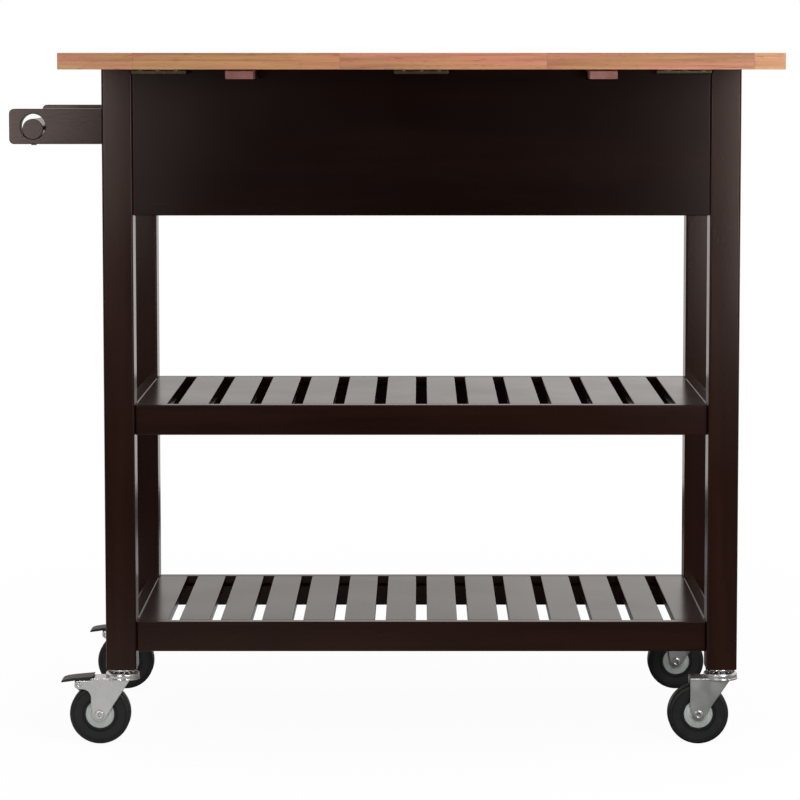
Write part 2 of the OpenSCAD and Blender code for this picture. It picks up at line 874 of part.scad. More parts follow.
// Axle bolt with its head and nut, and the brake's rivet on a braked fork
module axle(side_x, side_y, braked) {
    head_t = 2.5;
    rivet_t = 1.2;
    outer = cheek_y + fork_t;
    color(zinc) at_caster(side_x, side_y) {
        rod_y([-trail, 0, wheel_r], axle_r, 2 * outer + 2 * head_t);
        rod_y([-trail, -outer - head_t / 2, wheel_r], axle_r + 2.5, head_t);
        translate([-trail, outer + head_t, wheel_r]) rotate([90, 0, 0])
            cylinder(r = axle_r + 3, h = head_t, $fn = 6);
        if (braked) {
            rod_y([brake_pin_x, 0, brake_pin_z], brake_pin_r, 2 * outer);
            for (side = [-1, 1])
                rod_y([brake_pin_x, side * (outer + rivet_t / 2), brake_pin_z],
                    brake_pin_r + 1.3, rivet_t);
        }
    }
}

module at_axle(side_x, side_y) {
    at_caster(side_x, side_y) translate([-trail, 0, wheel_r]) rotate([90, 0, 0]) children();
}

// Solid rubber tyre with round shoulders, dished where it meets the hub
module tyre(side_x, side_y) {
    shoulder = 4;
    dish = 2;
    dish_r = hub_core_r + 3;
    bore = hub_core_r + dowel_play;
    color(rubber) at_axle(side_x, side_y) rotate_extrude($fn = 96) difference() {
        union() {
            translate([bore, -tyre_w / 2 + shoulder])
                square([wheel_r - bore, tyre_w - 2 * shoulder]);
            translate([bore, -tyre_w / 2]) square([wheel_r - shoulder - bore, tyre_w]);
            for (side = [-1, 1])
                translate([wheel_r - shoulder, side * (tyre_w / 2 - shoulder)])
                    circle(r = shoulder, $fn = 48);
        }
        for (side = [-1, 1])
            translate([bore - 1, side * tyre_w / 2 - dish]) square([dish_r - bore + 1, 2 * dish]);
    }
}

// Hub with its two pressed zinc discs
module hub(side_x, side_y) {
    core = tyre_w / 2 - 2;
    disc_edge = core + 1;
    bore = axle_r + pin_play;
    boss_r = axle_r + 4;
    color(hub_zinc) at_axle(side_x, side_y) rotate_extrude($fn = 96)
        polygon([[bore, -hub_l / 2], [boss_r, -hub_l / 2], [hub_r, -disc_edge], [hub_r, -core],
            [hub_core_r, -core], [hub_core_r, core], [hub_r, core], [hub_r, disc_edge],
            [boss_r, hub_l / 2], [bore, hub_l / 2]]);
}

// Foot pedal with a web between the cheeks and a lobe that presses on the tyre
module brake_pedal(side_x, side_y) {
    web_w = fork_gap - 2 * side_room;
    boss_r = brake_pin_r + 3;
    lobe_r = 2.5;
    under_plate = ear_r + 0.6;
    heel_dx = heel_x - brake_pin_x;
    over_fork = fork_top - brake_pin_z + 0.5;
    color(pedal_black) at_caster(side_x, side_y)
        translate([brake_pin_x, 0, brake_pin_z]) difference() {
            union() {
                rotate([90, 0, 0]) linear_extrude(pedal_w, center = true)
                    polygon([[-21.5, under_plate - 2.6], [-12, under_plate - 1.4],
                        [-5, under_plate - 0.4], [0, under_plate], [heel_dx - 1.7, under_plate + 0.3],
                        [heel_dx - 0.9, over_fork], [heel_dx + 1.5, over_fork],
                        [heel_dx + 3.1, over_fork + 2.2], [5, under_plate + 3.8],
                        [-6, under_plate + 2.8], [-15.6, under_plate + 1.4],
                        [-20.3, under_plate - 0.1], [-22, under_plate - 1.6]]);
                rotate([90, 0, 0]) linear_extrude(web_w, center = true) {
                    circle(r = boss_r);
                    translate([-boss_r, 0]) square([2 * boss_r, under_plate + 1.5]);
                    rotate(lobe_angle) {
                        translate([0, -lobe_r]) square([lobe_arm - lobe_r, 2 * lobe_r]);
                        translate([lobe_arm - lobe_r, 0]) circle(r = lobe_r);
                    }
                }
            }
            rod_y([0, 0, 0], brake_pin_r + pin_play, pedal_w + 2);
        }
}

// ---- Nodes ----

corner_post(LEFT, LEAF);  // post_leaf_left
corner_post(RIGHT, LEAF);  // post_leaf_right
corner_post(LEFT, DRAWER);  // post_drawer_left
corner_post(RIGHT, DRAWER);  // post_drawer_right
back_panel();
side_panel(LEFT);  // side_panel_left
side_panel(RIGHT);  // side_panel_right
drawer_rails();
drawer_divider();
side_runners();
centre_runner();
top_board();
top_blocks();
top_screws();
leaf_board();
hinge_top_plates();
hinge_leaf_plates();
hinge_pins();
leaf_screws();
support_bar(LEFT);  // support_bar_left
support_bar(RIGHT);  // support_bar_right
bar_guides();
shelf_frame(middle_top);  // middle_shelf_frame
shelf_ledgers(middle_top);  // middle_shelf_ledgers
shelf_slats(middle_top);  // middle_shelf_slats
shelf_frame(lower_top);  // lower_shelf_frame
shelf_ledgers(lower_top);  // lower_shelf_ledgers
shelf_slats(lower_top);  // lower_shelf_slats
dowels();
towel_bracket(LEAF);  // towel_bracket_leaf_side
towel_bracket(DRAWER);  // towel_bracket_drawer_side
towel_rod();
rod_screws();
drawer_front(LEFT);  // drawer_left_front
drawer_box(LEFT);  // drawer_left_box
drawer_knob(LEFT);  // drawer_left_knob
drawer_front(RIGHT);  // drawer_right_front
drawer_box(RIGHT);  // drawer_right_box
drawer_knob(RIGHT);  // drawer_right_knob
caster_stems();
caster_balls();
caster_fork(LEFT, LEAF, true);  // fork_leaf_left
caster_fork(RIGHT, LEAF, false);  // fork_leaf_right
caster_fork(LEFT, DRAWER, true);  // fork_drawer_left
caster_fork(RIGHT, DRAWER, false);  // fork_drawer_right
axle(LEFT, LEAF, true);  // axle_leaf_left
axle(RIGHT, LEAF, false);  // axle_leaf_right
axle(LEFT, DRAWER, true);  // axle_drawer_left
axle(RIGHT, DRAWER, false);  // axle_drawer_right
tyre(LEFT, LEAF);  // tyre_leaf_left
tyre(RIGHT, LEAF);  // tyre_leaf_right
tyre(LEFT, DRAWER);  // tyre_drawer_left
tyre(RIGHT, DRAWER);  // tyre_drawer_right
hub(LEFT, LEAF);  // hub_leaf_left
hub(RIGHT, LEAF);  // hub_leaf_right
hub(LEFT, DRAWER);  // hub_drawer_left
hub(RIGHT, DRAWER);  // hub_drawer_right
brake_pedal(LEFT, LEAF);  // brake_pedal_leaf_left
brake_pedal(LEFT, DRAWER);  // brake_pedal_drawer_left
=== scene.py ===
# Kitchen island cart: a lacquered frame with two slatted shelves and two drawers, an oiled
# worktop with a hinged leaf, a towel bar and four swivel casters. The leaf side faces -Y.
import math

import bmesh
import bpy
from mathutils import Matrix, Vector


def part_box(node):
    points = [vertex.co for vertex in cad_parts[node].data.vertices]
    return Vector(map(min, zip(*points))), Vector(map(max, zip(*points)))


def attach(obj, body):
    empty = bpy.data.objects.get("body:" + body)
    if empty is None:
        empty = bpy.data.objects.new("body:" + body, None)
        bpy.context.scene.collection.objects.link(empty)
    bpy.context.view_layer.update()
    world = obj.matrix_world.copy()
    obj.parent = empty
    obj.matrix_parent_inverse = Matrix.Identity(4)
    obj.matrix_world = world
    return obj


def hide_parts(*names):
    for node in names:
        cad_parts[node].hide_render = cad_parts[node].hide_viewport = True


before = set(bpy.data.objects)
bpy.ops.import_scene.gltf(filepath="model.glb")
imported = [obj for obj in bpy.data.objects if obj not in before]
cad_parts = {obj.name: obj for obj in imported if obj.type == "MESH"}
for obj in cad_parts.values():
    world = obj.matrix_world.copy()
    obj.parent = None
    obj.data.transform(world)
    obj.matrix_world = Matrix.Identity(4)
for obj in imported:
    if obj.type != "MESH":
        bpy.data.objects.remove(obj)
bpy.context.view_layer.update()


# ---- Camera ----
# A long lens in front of the leaf side, at the height of the worktop and tipped a little down,
# so that the worktop is seen edge on and both shelves from above.
bpy.ops.object.camera_add(location=(0.0455, -3.8202, 0.8576),
                          rotation=(math.radians(90 - 4.754), 0, 0))
camera = bpy.context.object
camera.data.lens = 136.98
camera.data.sensor_width = 36
camera.data.shift_x = -0.0255
camera.data.shift_y = -0.11
bpy.context.scene.camera = camera
bpy.context.scene.view_settings.view_transform = "Standard"


# ---- Studio ----
# White surroundings, dimmer on the side of the camera, as in a room that is only lit around
# the cart. Two soft boxes stand in front of it, the nearer to the right, and one hangs above.
def put(tree, kind, sockets=None, **settings):
    """Adds a shader node with its settings, socket values and links, and returns it."""
    made = tree.nodes.new("ShaderNode" + kind)
    for name, value in settings.items():
        setattr(made, name, value)
    for name, value in (sockets or {}).items():
        if isinstance(value, bpy.types.NodeSocket):
            tree.links.new(value, made.inputs[name])
        else:
            made.inputs[name].default_value = value
    return made


def math_of(tree, operation, *values, clamp=False):
    """A Math node's result for one, two or three values or sockets."""
    made = put(tree, "Math", dict(enumerate(values)), operation=operation, use_clamp=clamp)
    return made.outputs[0]


def ramp_of(tree, value, low, high, to_low=0.0, to_high=1.0, smooth=True):
    """Maps a value from one range to another, held at both ends."""
    sockets = {"Value": value, "From Min": low, "From Max": high,
               "To Min": to_low, "To Max": to_high}
    kind = "SMOOTHSTEP" if smooth else "LINEAR"
    return put(tree, "MapRange", sockets, interpolation_type=kind).outputs["Result"]


world = bpy.data.worlds.new("studio")
bpy.context.scene.world = world
world.use_nodes = True
tree = world.node_tree
tree.nodes.clear()
direction = put(tree, "SeparateXYZ", {"Vector": put(tree, "TexCoord").outputs["Generated"]})
rays = put(tree, "LightPath")
mirrored = math_of(tree, "MULTIPLY", ramp_of(tree, direction.outputs["Y"], -0.65, 0.1, 0.02, 0.82),
                   ramp_of(tree, direction.outputs["X"], -0.03, 0.11, 0.97, 1.17))
soft = ramp_of(tree, direction.outputs["Z"], -0.1, 0.9, 0.16, 0.8)
lit = put(tree, "Mix", {"Factor": rays.outputs["Is Glossy Ray"], "A": soft, "B": mirrored})
backdrop = math_of(tree, "ADD", rays.outputs["Is Camera Ray"], rays.outputs["Is Transmission Ray"])
strength = math_of(tree, "MAXIMUM", lit.outputs["Result"], backdrop)
warmth = put(tree, "Mix", {0: rays.outputs["Is Glossy Ray"], 6: (1, 1, 1, 1),
                           7: (1, 0.955, 0.925, 1)}, data_type="RGBA").outputs[2]
light = put(tree, "Background", {"Color": warmth, "Strength": strength})
put(tree, "OutputWorld", {"Surface": light.outputs["Background"]})

for place, aim, size, power in (
        ((0.92, -1.5, 0.88), (0.3, 0, 0.7), (0.6, 1.0), 17.5),
        ((-0.96, -2.2, 0.94), (-0.2, 0, 0.7), (0.64, 0.8), 16.5),
        ((0.3, -0.2, 3.1), (0, 0, 0.8), (2.2, 2.2), 34)):
    bpy.ops.object.light_add(type="AREA", location=place)
    lamp = bpy.context.object
    lamp.data.energy = power
    lamp.data.shape = "RECTANGLE"
    lamp.data.size, lamp.data.size_y = size
    lamp.visible_camera = False
    lamp.rotation_euler = (Vector(aim) - Vector(place)).to_track_quat("-Z", "Y").to_euler()


# ---- Floor ----
# A sheet of white paper. The camera sees it as pure white, with a faint shadow under the cart
# that fades out before the sheet's edge.
bpy.ops.mesh.primitive_circle_add(vertices=96, radius=1.9, fill_type="NGON",
                                  location=(0.05, 0.35, 0))
floor = bpy.context.object
floor.name = "floor"
paper = bpy.data.materials.new("paper")
paper.use_nodes = True
tree = paper.node_tree
tree.nodes.clear()
matt = put(tree, "BsdfDiffuse", {"Color": (0.5, 0.5, 0.5, 1)})
bright = put(tree, "BsdfDiffuse", {"Color": (0.9, 0.9, 0.9, 1)})
white = put(tree, "Emission", {"Color": (1, 1, 1, 1), "Strength": 1.0})
own = put(tree, "TexCoord").outputs["Object"]
out = put(tree, "VectorMath", {0: own}, operation="LENGTH").outputs["Value"]
shaded = put(tree, "MixShader", {0: ramp_of(tree, out, 0.7, 1.5, 0.95, 1.0),
                                 1: bright.outputs[0], 2: white.outputs[0]})
rays = put(tree, "LightPath")
# In reflections the floor is painted light: lighter to the left, darker to the right and towards
# its rim.
side = put(tree, "SeparateXYZ", {"Vector": own}).outputs["X"]
near = math_of(tree, "MULTIPLY", ramp_of(tree, side, -0.6, 0.4, 0.75, 0.16),
               ramp_of(tree, out, 1.15, 1.45, 1.0, 0.15))
dim = put(tree, "BsdfDiffuse", {"Color": near})
bounced = put(tree, "MixShader", {0: rays.outputs["Is Glossy Ray"], 1: matt.outputs[0],
                                  2: dim.outputs[0]})
seen = put(tree, "MixShader", {0: rays.outputs["Is Camera Ray"], 1: bounced.outputs[0],
                               2: shaded.outputs[0]})
put(tree, "OutputMaterial", {"Surface": seen.outputs[0]})
floor.data.materials.append(paper)


# ---- Corner posts ----
# Four square posts of solid wood, planed, with well eased edges and a drilled foot for the
# caster's stem. They are dowelled to the rails and sprayed with dark espresso lacquer.
MM = 0.001
CORNERS = ("leaf_left", "leaf_right", "drawer_left", "drawer_right")
POST_ROUND = 3 * MM
POST_EASE = 0.9 * MM


def start_group(name, inputs, outputs):
    """A new shader node group with named sockets: its tree, what goes in and what comes out."""
    group = bpy.data.node_groups.new(name, "ShaderNodeTree")
    for side, sockets in (("INPUT", inputs), ("OUTPUT", outputs)):
        for title, kind in sockets.items():
            group.interface.new_socket(title, in_out=side, socket_type="NodeSocket" + kind)
    return group, group.nodes.new("NodeGroupInput"), group.nodes.new("NodeGroupOutput")


def mix_of(tree, factor, first, second, blend="MIX"):
    """Blends two colours, given as colours or as sockets."""
    made = put(tree, "Mix", {0: factor, 6: first, 7: second}, data_type="RGBA", blend_type=blend)
    return made.outputs[2]


def noise_of(tree, vector, scale, detail=2.0, rough=0.5, swirl=0.0):
    """Noise on coordinates that are first stretched by three factors."""
    stretched = put(tree, "VectorMath", {0: vector, 1: scale}, operation="MULTIPLY")
    sockets = {"Vector": stretched.outputs[0], "Scale": 1.0, "Detail": detail,
               "Roughness": rough, "Distortion": swirl}
    return put(tree, "TexNoise", sockets).outputs["Fac"]


# Wood grain that runs along X: broad figure, fine fibres and short dark pores
grain, given, result = start_group(
    "wood_grain", {"Vector": "Vector"}, {"Figure": "Float", "Fibre": "Float", "Pores": "Float"})
along = given.outputs["Vector"]
figure = noise_of(grain, along, (2.2, 34, 34), 3.0, 0.55, 0.6)
fibre = noise_of(grain, along, (9, 420, 420), 3.0, 0.6)
pores = noise_of(grain, along, (70, 1100, 1100), 1.0)
for title, value in (("Figure", ramp_of(grain, figure, 0.3, 0.7)),
                     ("Fibre", ramp_of(grain, fibre, 0.25, 0.75)),
                     ("Pores", ramp_of(grain, pores, 0.62, 0.74))):
    grain.links.new(value, result.inputs[title])

# Where a finish has rubbed thin, and where a painted highlight lies along rounded edges: a mask
# along the edges, broken up by noise
edge_wear_and_highlight, given, result = start_group(
    "edge_wear_and_highlight", {"Vector": "Vector", "Width": "Float"}, {"Mask": "Float"})
rounded = put(edge_wear_and_highlight, "Bevel", {"Radius": given.outputs["Width"]}, samples=4)
facing = put(edge_wear_and_highlight, "VectorMath", {0: rounded.outputs[0],
             1: put(edge_wear_and_highlight, "NewGeometry").outputs["Normal"]}, operation="DOT_PRODUCT")
edge = ramp_of(edge_wear_and_highlight, facing.outputs["Value"], 0.995, 0.86)
patches = noise_of(edge_wear_and_highlight, given.outputs["Vector"], (70, 70, 70), 4.0, 0.65)
broken = math_of(edge_wear_and_highlight, "MULTIPLY", edge, ramp_of(edge_wear_and_highlight, patches, 0.35, 0.65, 0.15, 1.0))
edge_wear_and_highlight.links.new(broken, result.inputs["Mask"])


def start_finish(name, **constants):
    """A new material with a Principled shader, and its constant values."""
    finish = bpy.data.materials.new(name)
    finish.use_nodes = True
    shader = finish.node_tree.nodes["Principled BSDF"]
    for title, value in constants.items():
        shader.inputs[title.replace("_", " ")].default_value = value
    return finish, finish.node_tree, shader


TURNS = {"X": (0, 0, 0), "Y": (0, 0, math.radians(90)), "Z": (0, math.radians(90), 0)}


def coordinates(tree, run="X"):
    """Object coordinates, turned so that the axis named by run becomes X."""
    own = put(tree, "TexCoord").outputs["Object"]
    return own, put(tree, "Mapping", {"Vector": own, "Rotation": TURNS[run]}).outputs[0]


def bump_of(tree, height, depth, strength=1.0):
    """A Bump node's normal for a height from 0 to 1, and its depth in metres."""
    return put(tree, "Bump", {"Height": height, "Distance": depth,
                              "Strength": strength}).outputs["Normal"]


def espresso_lacquer(run, depth=1.0, shine=0.5):
    """Dark brown lacquer over wood whose grain runs along one axis. Depth divides the colour, as
    painted shade above 1 and painted light below 1, and shine is how strongly the surface
    reflects."""
    finish, tree, shader = start_finish(f"espresso_lacquer_{run}", IOR=1.3,
                                        Specular_IOR_Level=shine,
                                        Specular_Tint=(1.0, 0.82, 0.76, 1))
    own, turned = coordinates(tree, run)
    wood = put(tree, "Group", {"Vector": turned}, node_tree=grain).outputs
    worn_and_lit = put(tree, "Group", {"Vector": own, "Width": 0.0022}, node_tree=edge_wear_and_highlight).outputs[0]
    brown = mix_of(tree, wood["Figure"], (0.0095, 0.0030, 0.0019, 1), (0.0160, 0.0052, 0.0032, 1))
    brown = mix_of(tree, math_of(tree, "MULTIPLY", wood["Fibre"], 0.3), brown,
                   (0.0070, 0.0024, 0.0018, 1))
    brown = mix_of(tree, math_of(tree, "MULTIPLY", wood["Pores"], 0.35), brown,
                   (0.0040, 0.0018, 0.0016, 1))
    # Painted shade where depth is above 1, painted light where it is below 1: the colour is
    # divided by depth.
    brown = mix_of(tree, 1.0, brown, (1 / depth, 1 / depth, 1 / depth, 1), "MULTIPLY")
    # Lighter brown along the eased edges: rubbed lacquer and a painted highlight.
    brown = mix_of(tree, math_of(tree, "MULTIPLY", worn_and_lit, 0.5), brown, (0.050, 0.021, 0.014, 1))
    tree.links.new(brown, shader.inputs["Base Color"])
    smears = noise_of(tree, own, (7, 7, 7), 2.0)
    gloss = math_of(tree, "ADD", ramp_of(tree, smears, 0.25, 0.75, 0.2, 0.24),
                    math_of(tree, "MULTIPLY", worn_and_lit, 0.08))
    tree.links.new(gloss, shader.inputs["Roughness"])
    peel = noise_of(tree, own, (330, 330, 330), 2.0)
    relief = math_of(tree, "ADD", math_of(tree, "MULTIPLY", wood["Fibre"], 0.6), peel)
    relief = math_of(tree, "SUBTRACT", relief, wood["Pores"])
    tree.links.new(bump_of(tree, relief, 0.000012), shader.inputs["Normal"])
    return finish


# The lacquer along Z, on the posts and the divider, is painted lighter by a depth of 0.88, as
# light falling on them.
lacquer = {"X": espresso_lacquer("X"), "Y": espresso_lacquer("Y"),
           "Z": espresso_lacquer("Z", 0.88)}


def plain_block(name, low, high):
    """A box from its lowest to its highest corner, in an object at the origin."""
    low, high = Vector(low), Vector(high)
    bpy.ops.object.select_all(action="DESELECT")
    bpy.ops.mesh.primitive_cube_add(size=1)
    block = bpy.context.object
    block.name = block.data.name = name
    bpy.ops.object.mode_set(mode="EDIT")
    bpy.ops.transform.resize(value=high - low)
    bpy.ops.transform.translate(value=(low + high) / 2)
    bpy.ops.object.mode_set(mode="OBJECT")
    return block


def round_edges(piece, width, chosen, segments=4):
    """Bevels the edges for which chosen(start, end) is true."""
    bpy.ops.object.select_all(action="DESELECT")
    piece.select_set(True)
    bpy.context.view_layer.objects.active = piece
    bpy.ops.object.mode_set(mode="EDIT")
    bpy.ops.mesh.select_mode(type="EDGE")
    bpy.ops.mesh.select_all(action="DESELECT")
    mesh = bmesh.from_edit_mesh(piece.data)
    for edge in mesh.edges:
        edge.select_set(chosen(edge.verts[0].co, edge.verts[1].co))
    bmesh.update_edit_mesh(piece.data)
    bpy.ops.mesh.bevel(offset=width, segments=segments, affect="EDGES")
    bpy.ops.object.mode_set(mode="OBJECT")


def apply_modifier(piece, kind, **settings):
    """Adds a modifier with its settings and applies it."""
    bpy.ops.object.select_all(action="DESELECT")
    piece.select_set(True)
    bpy.context.view_layer.objects.active = piece
    made = piece.modifiers.new(kind.lower(), kind)
    for name, value in settings.items():
        setattr(made, name, value)
    bpy.ops.object.modifier_apply(modifier=made.name)


def ease(piece, width, segments=2, copies=None):
    """Eases every sharp edge, makes copies in a row if asked, and keeps the flat faces flat."""
    apply_modifier(piece, "BEVEL", width=width, segments=segments, limit_method="ANGLE",
                   angle_limit=math.radians(35))
    if copies:
        apply_modifier(piece, "ARRAY", count=copies[0], use_relative_offset=False,
                       use_constant_offset=True, constant_offset_displace=copies[1])
    bpy.ops.object.shade_smooth_by_angle(angle=math.radians(50))
    apply_modifier(piece, "WEIGHTED_NORMAL", keep_sharp=True)
    return piece


for corner in CORNERS:
    low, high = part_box(f"post_{corner}")
    post = plain_block(f"corner_post_{corner}", low, high)
    round_edges(post, POST_ROUND, lambda a, b: abs(a.z - b.z) > 0.1)
    ease(post, POST_EASE)
    post.data.materials.append(lacquer["Z"])
    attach(post, "cart")
    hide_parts(f"post_{corner}")


# ---- Drawer case ----
# Solid boards between the posts: a deep back panel under the leaf, a panel at each end, and
# on the drawer side two rails with a divider. The back panel is notched for the support bars.
BOARD_EASE = 1.3 * MM
NOTCH_ROOM = 2.5 * MM
RAIL_OVER_DRAWERS = 25 * MM
RAIL_UNDER_DRAWERS = 24 * MM


def carve(piece, cutter):
    """Cuts one piece with another, which is then removed."""
    apply_modifier(piece, "BOOLEAN", object=cutter, operation="DIFFERENCE", solver="EXACT")
    bpy.data.objects.remove(cutter)


def board(name, low, high, run, node):
    """A lacquered board with eased edges, fixed to the cart in place of its CAD node."""
    made = ease(plain_block(name, low, high), BOARD_EASE)
    made.data.materials.append(lacquer[run])
    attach(made, "cart")
    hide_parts(node)
    return made


low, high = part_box("back_panel")
panel = plain_block("case_back_panel", low, high)
for side in ("left", "right"):
    bar_low, bar_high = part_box(f"support_bar_{side}")
    notch_low = (bar_low.x - NOTCH_ROOM, low.y - 0.01, bar_low.z - 0.3 * MM)
    notch_high = (bar_high.x + NOTCH_ROOM, high.y + 0.01, high.z + 0.01)
    carve(panel, plain_block("notch", notch_low, notch_high))
ease(panel, BOARD_EASE)
# The back panel's lacquer is painted twice as dark, as shade under the overhanging leaf, and
# reflects less.
panel.data.materials.append(espresso_lacquer("X", 2.0, 0.4))
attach(panel, "cart")
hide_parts("back_panel")

for side in ("left", "right"):
    board(f"case_end_panel_{side}", *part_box(f"side_panel_{side}"), "Y", f"side_panel_{side}")

low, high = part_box("drawer_rails")
board("case_rail_over_drawers", (low.x, low.y, high.z - RAIL_OVER_DRAWERS), high, "X",
      "drawer_rails")
board("case_rail_under_drawers", low, (high.x, high.y, low.z + RAIL_UNDER_DRAWERS), "X",
      "drawer_rails")
board("case_divider", *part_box("drawer_divider"), "Z", "drawer_divider")


# ---- Shelves ----
# Each shelf is a frame of four rails on edge with fourteen loose-spaced slats across it, which
# lie on ledger strips inside the long rails and end flush with the top of the rails.
SLATS = 14
SLAT_WIDTH = 38 * MM
LONG_RAIL = 14 * MM
END_RAIL = 15 * MM
post_edge_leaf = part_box("post_leaf_left")[1].y
post_edge_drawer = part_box("post_drawer_right")[0].y
for shelf in ("middle", "lower"):
    low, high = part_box(f"{shelf}_shelf_frame")
    left, right = low.x + END_RAIL, high.x - END_RAIL
    for rail, start, end, run in (
            ("leaf_side", (left, low.y, low.z), (right, low.y + LONG_RAIL, high.z), "X"),
            ("drawer_side", (left, high.y - LONG_RAIL, low.z), (right, high.y, high.z), "X"),
            ("left", (low.x, post_edge_leaf, low.z), (left, post_edge_drawer, high.z), "Y"),
            ("right", (right, post_edge_leaf, low.z), (high.x, post_edge_drawer, high.z), "Y")):
        board(f"{shelf}_rail_{rail}", start, end, run, f"{shelf}_shelf_frame")
    low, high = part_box(f"{shelf}_shelf_slats")
    step = (high.x - low.x - SLAT_WIDTH) / (SLATS - 1)
    slats = plain_block(f"{shelf}_slats", low, (low.x + SLAT_WIDTH, high.y, high.z))
    ease(slats, BOARD_EASE, copies=(SLATS, (step, 0, 0)))
    slats.data.materials.append(lacquer["Y"])
    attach(slats, "cart")
    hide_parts(f"{shelf}_shelf_slats")


def dress(finish, *names):
    """Gives CAD nodes whose shape is right their finish."""
    for name in names:
        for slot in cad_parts[name].material_slots:
            slot.material = finish


dress(lacquer["X"], "middle_shelf_ledgers", "lower_shelf_ledgers")


# ---- Worktop and drop leaf ----
# Two boards of one stock: short staves of light hardwood, finger jointed end to end and glued
# side by side, with their edges eased and the wood oiled. The leaf swings down on its hinges.
STAVE_WIDTH = 0.042
staves, given, result = start_group(
    "staves", {"Vector": "Vector", "Width": "Float"},
    {"Vector": "Vector", "Shade": "Float", "Hue": "Float", "Seam": "Float"})
place = put(staves, "SeparateXYZ", {"Vector": given.outputs["Vector"]}).outputs
width = given.outputs["Width"]
across = math_of(staves, "ADD", math_of(staves, "DIVIDE", place["Y"], width), 40.0)
row = math_of(staves, "FLOOR", across)
row_luck = put(staves, "TexWhiteNoise", {"W": row}, noise_dimensions="1D").outputs["Value"]
length = math_of(staves, "MULTIPLY_ADD", row_luck, 0.15, 0.14)
fingers = math_of(staves, "MULTIPLY", math_of(staves, "PINGPONG", place["Y"], 0.0021), 4.2)
shifted = math_of(staves, "ADD", math_of(staves, "ADD", place["X"], fingers),
                  math_of(staves, "MULTIPLY_ADD", row_luck, 0.9, 7.03))
along = math_of(staves, "DIVIDE", shifted, length)
number = put(staves, "CombineXYZ", {"X": row, "Y": math_of(staves, "FLOOR", along)})
luck = put(staves, "TexWhiteNoise", {"Vector": number.outputs[0]}, noise_dimensions="3D")
seam = None
for position, size in ((across, width), (along, length)):
    rest = math_of(staves, "FRACT", position)
    nearest = math_of(staves, "MINIMUM", rest, math_of(staves, "SUBTRACT", 1.0, rest))
    line = ramp_of(staves, math_of(staves, "MULTIPLY", nearest, size), 0.00038, 0.00008)
    seam = line if seam is None else math_of(staves, "MAXIMUM", seam, line)
apart = put(staves, "VectorMath", {0: luck.outputs["Color"], 1: (3.0, 3.0, 3.0),
            2: given.outputs["Vector"]}, operation="MULTIPLY_ADD")
hue = put(staves, "SeparateXYZ", {"Vector": luck.outputs["Color"]}).outputs["Z"]
for title, value in (("Vector", apart.outputs[0]), ("Shade", luck.outputs["Value"]),
                     ("Hue", hue), ("Seam", seam)):
    staves.links.new(value, result.inputs[title])

hardwood, tree, shader = start_finish("oiled_hardwood", IOR=1.42)
own, turned = coordinates(tree)
stave = put(tree, "Group", {"Vector": own, "Width": STAVE_WIDTH}, node_tree=staves).outputs
wood = put(tree, "Group", {"Vector": stave["Vector"]}, node_tree=grain).outputs
worn_and_lit = put(tree, "Group", {"Vector": own, "Width": 0.0022}, node_tree=edge_wear_and_highlight).outputs[0]
tan = mix_of(tree, stave["Shade"], (0.2898, 0.1216, 0.06365, 1), (0.4655, 0.2375, 0.1321, 1))
tint = mix_of(tree, stave["Hue"], (0.3895, 0.1568, 0.0988, 1), (0.4227, 0.2052, 0.08835, 1))
tan = mix_of(tree, 0.5, tan, tint)
blush = noise_of(tree, stave["Vector"], (7, 60, 60), 2.0, 0.5, 0.5)
tan = mix_of(tree, 1.0, tan, mix_of(tree, ramp_of(tree, blush, 0.38, 0.62),
             (1.22, 1.08, 1.14, 1), (1.12, 1.20, 0.94, 1)), "MULTIPLY")
tan = mix_of(tree, math_of(tree, "MULTIPLY", wood["Figure"], 0.6), tan,
             (0.72, 0.70, 0.66, 1), "MULTIPLY")
streaks = noise_of(tree, stave["Vector"], (5, 210, 210), 3.0, 0.6, 0.5)
tan = mix_of(tree, ramp_of(tree, streaks, 0.45, 0.68, 0, 0.75), tan,
             (0.66, 0.56, 0.50, 1), "MULTIPLY")
tan = mix_of(tree, math_of(tree, "MULTIPLY", wood["Fibre"], 0.5), tan,
             (0.66, 0.55, 0.50, 1), "MULTIPLY")
tan = mix_of(tree, math_of(tree, "MULTIPLY", wood["Pores"], 0.6), tan,
             (0.45, 0.33, 0.28, 1), "MULTIPLY")
normal = put(tree, "SeparateXYZ", {"Vector": put(tree, "TexCoord").outputs["Normal"]})
end_grain = ramp_of(tree, math_of(tree, "ABSOLUTE", normal.outputs["X"]), 0.6, 0.8)
rings = noise_of(tree, stave["Vector"], (20, 130, 620), 3.0, 0.6, 0.8)
ends = mix_of(tree, ramp_of(tree, rings, 0.35, 0.65), (0.2565, 0.1092, 0.06175, 1),
              (0.4085, 0.1995, 0.114, 1))
ends = mix_of(tree, math_of(tree, "MULTIPLY", stave["Shade"], 0.5), ends,
              (0.494, 0.266, 0.1568, 1))
tan = mix_of(tree, end_grain, tan, ends)
tan = mix_of(tree, math_of(tree, "MULTIPLY", stave["Seam"], 0.5), tan,
             (0.30, 0.16, 0.10, 1), "MULTIPLY")
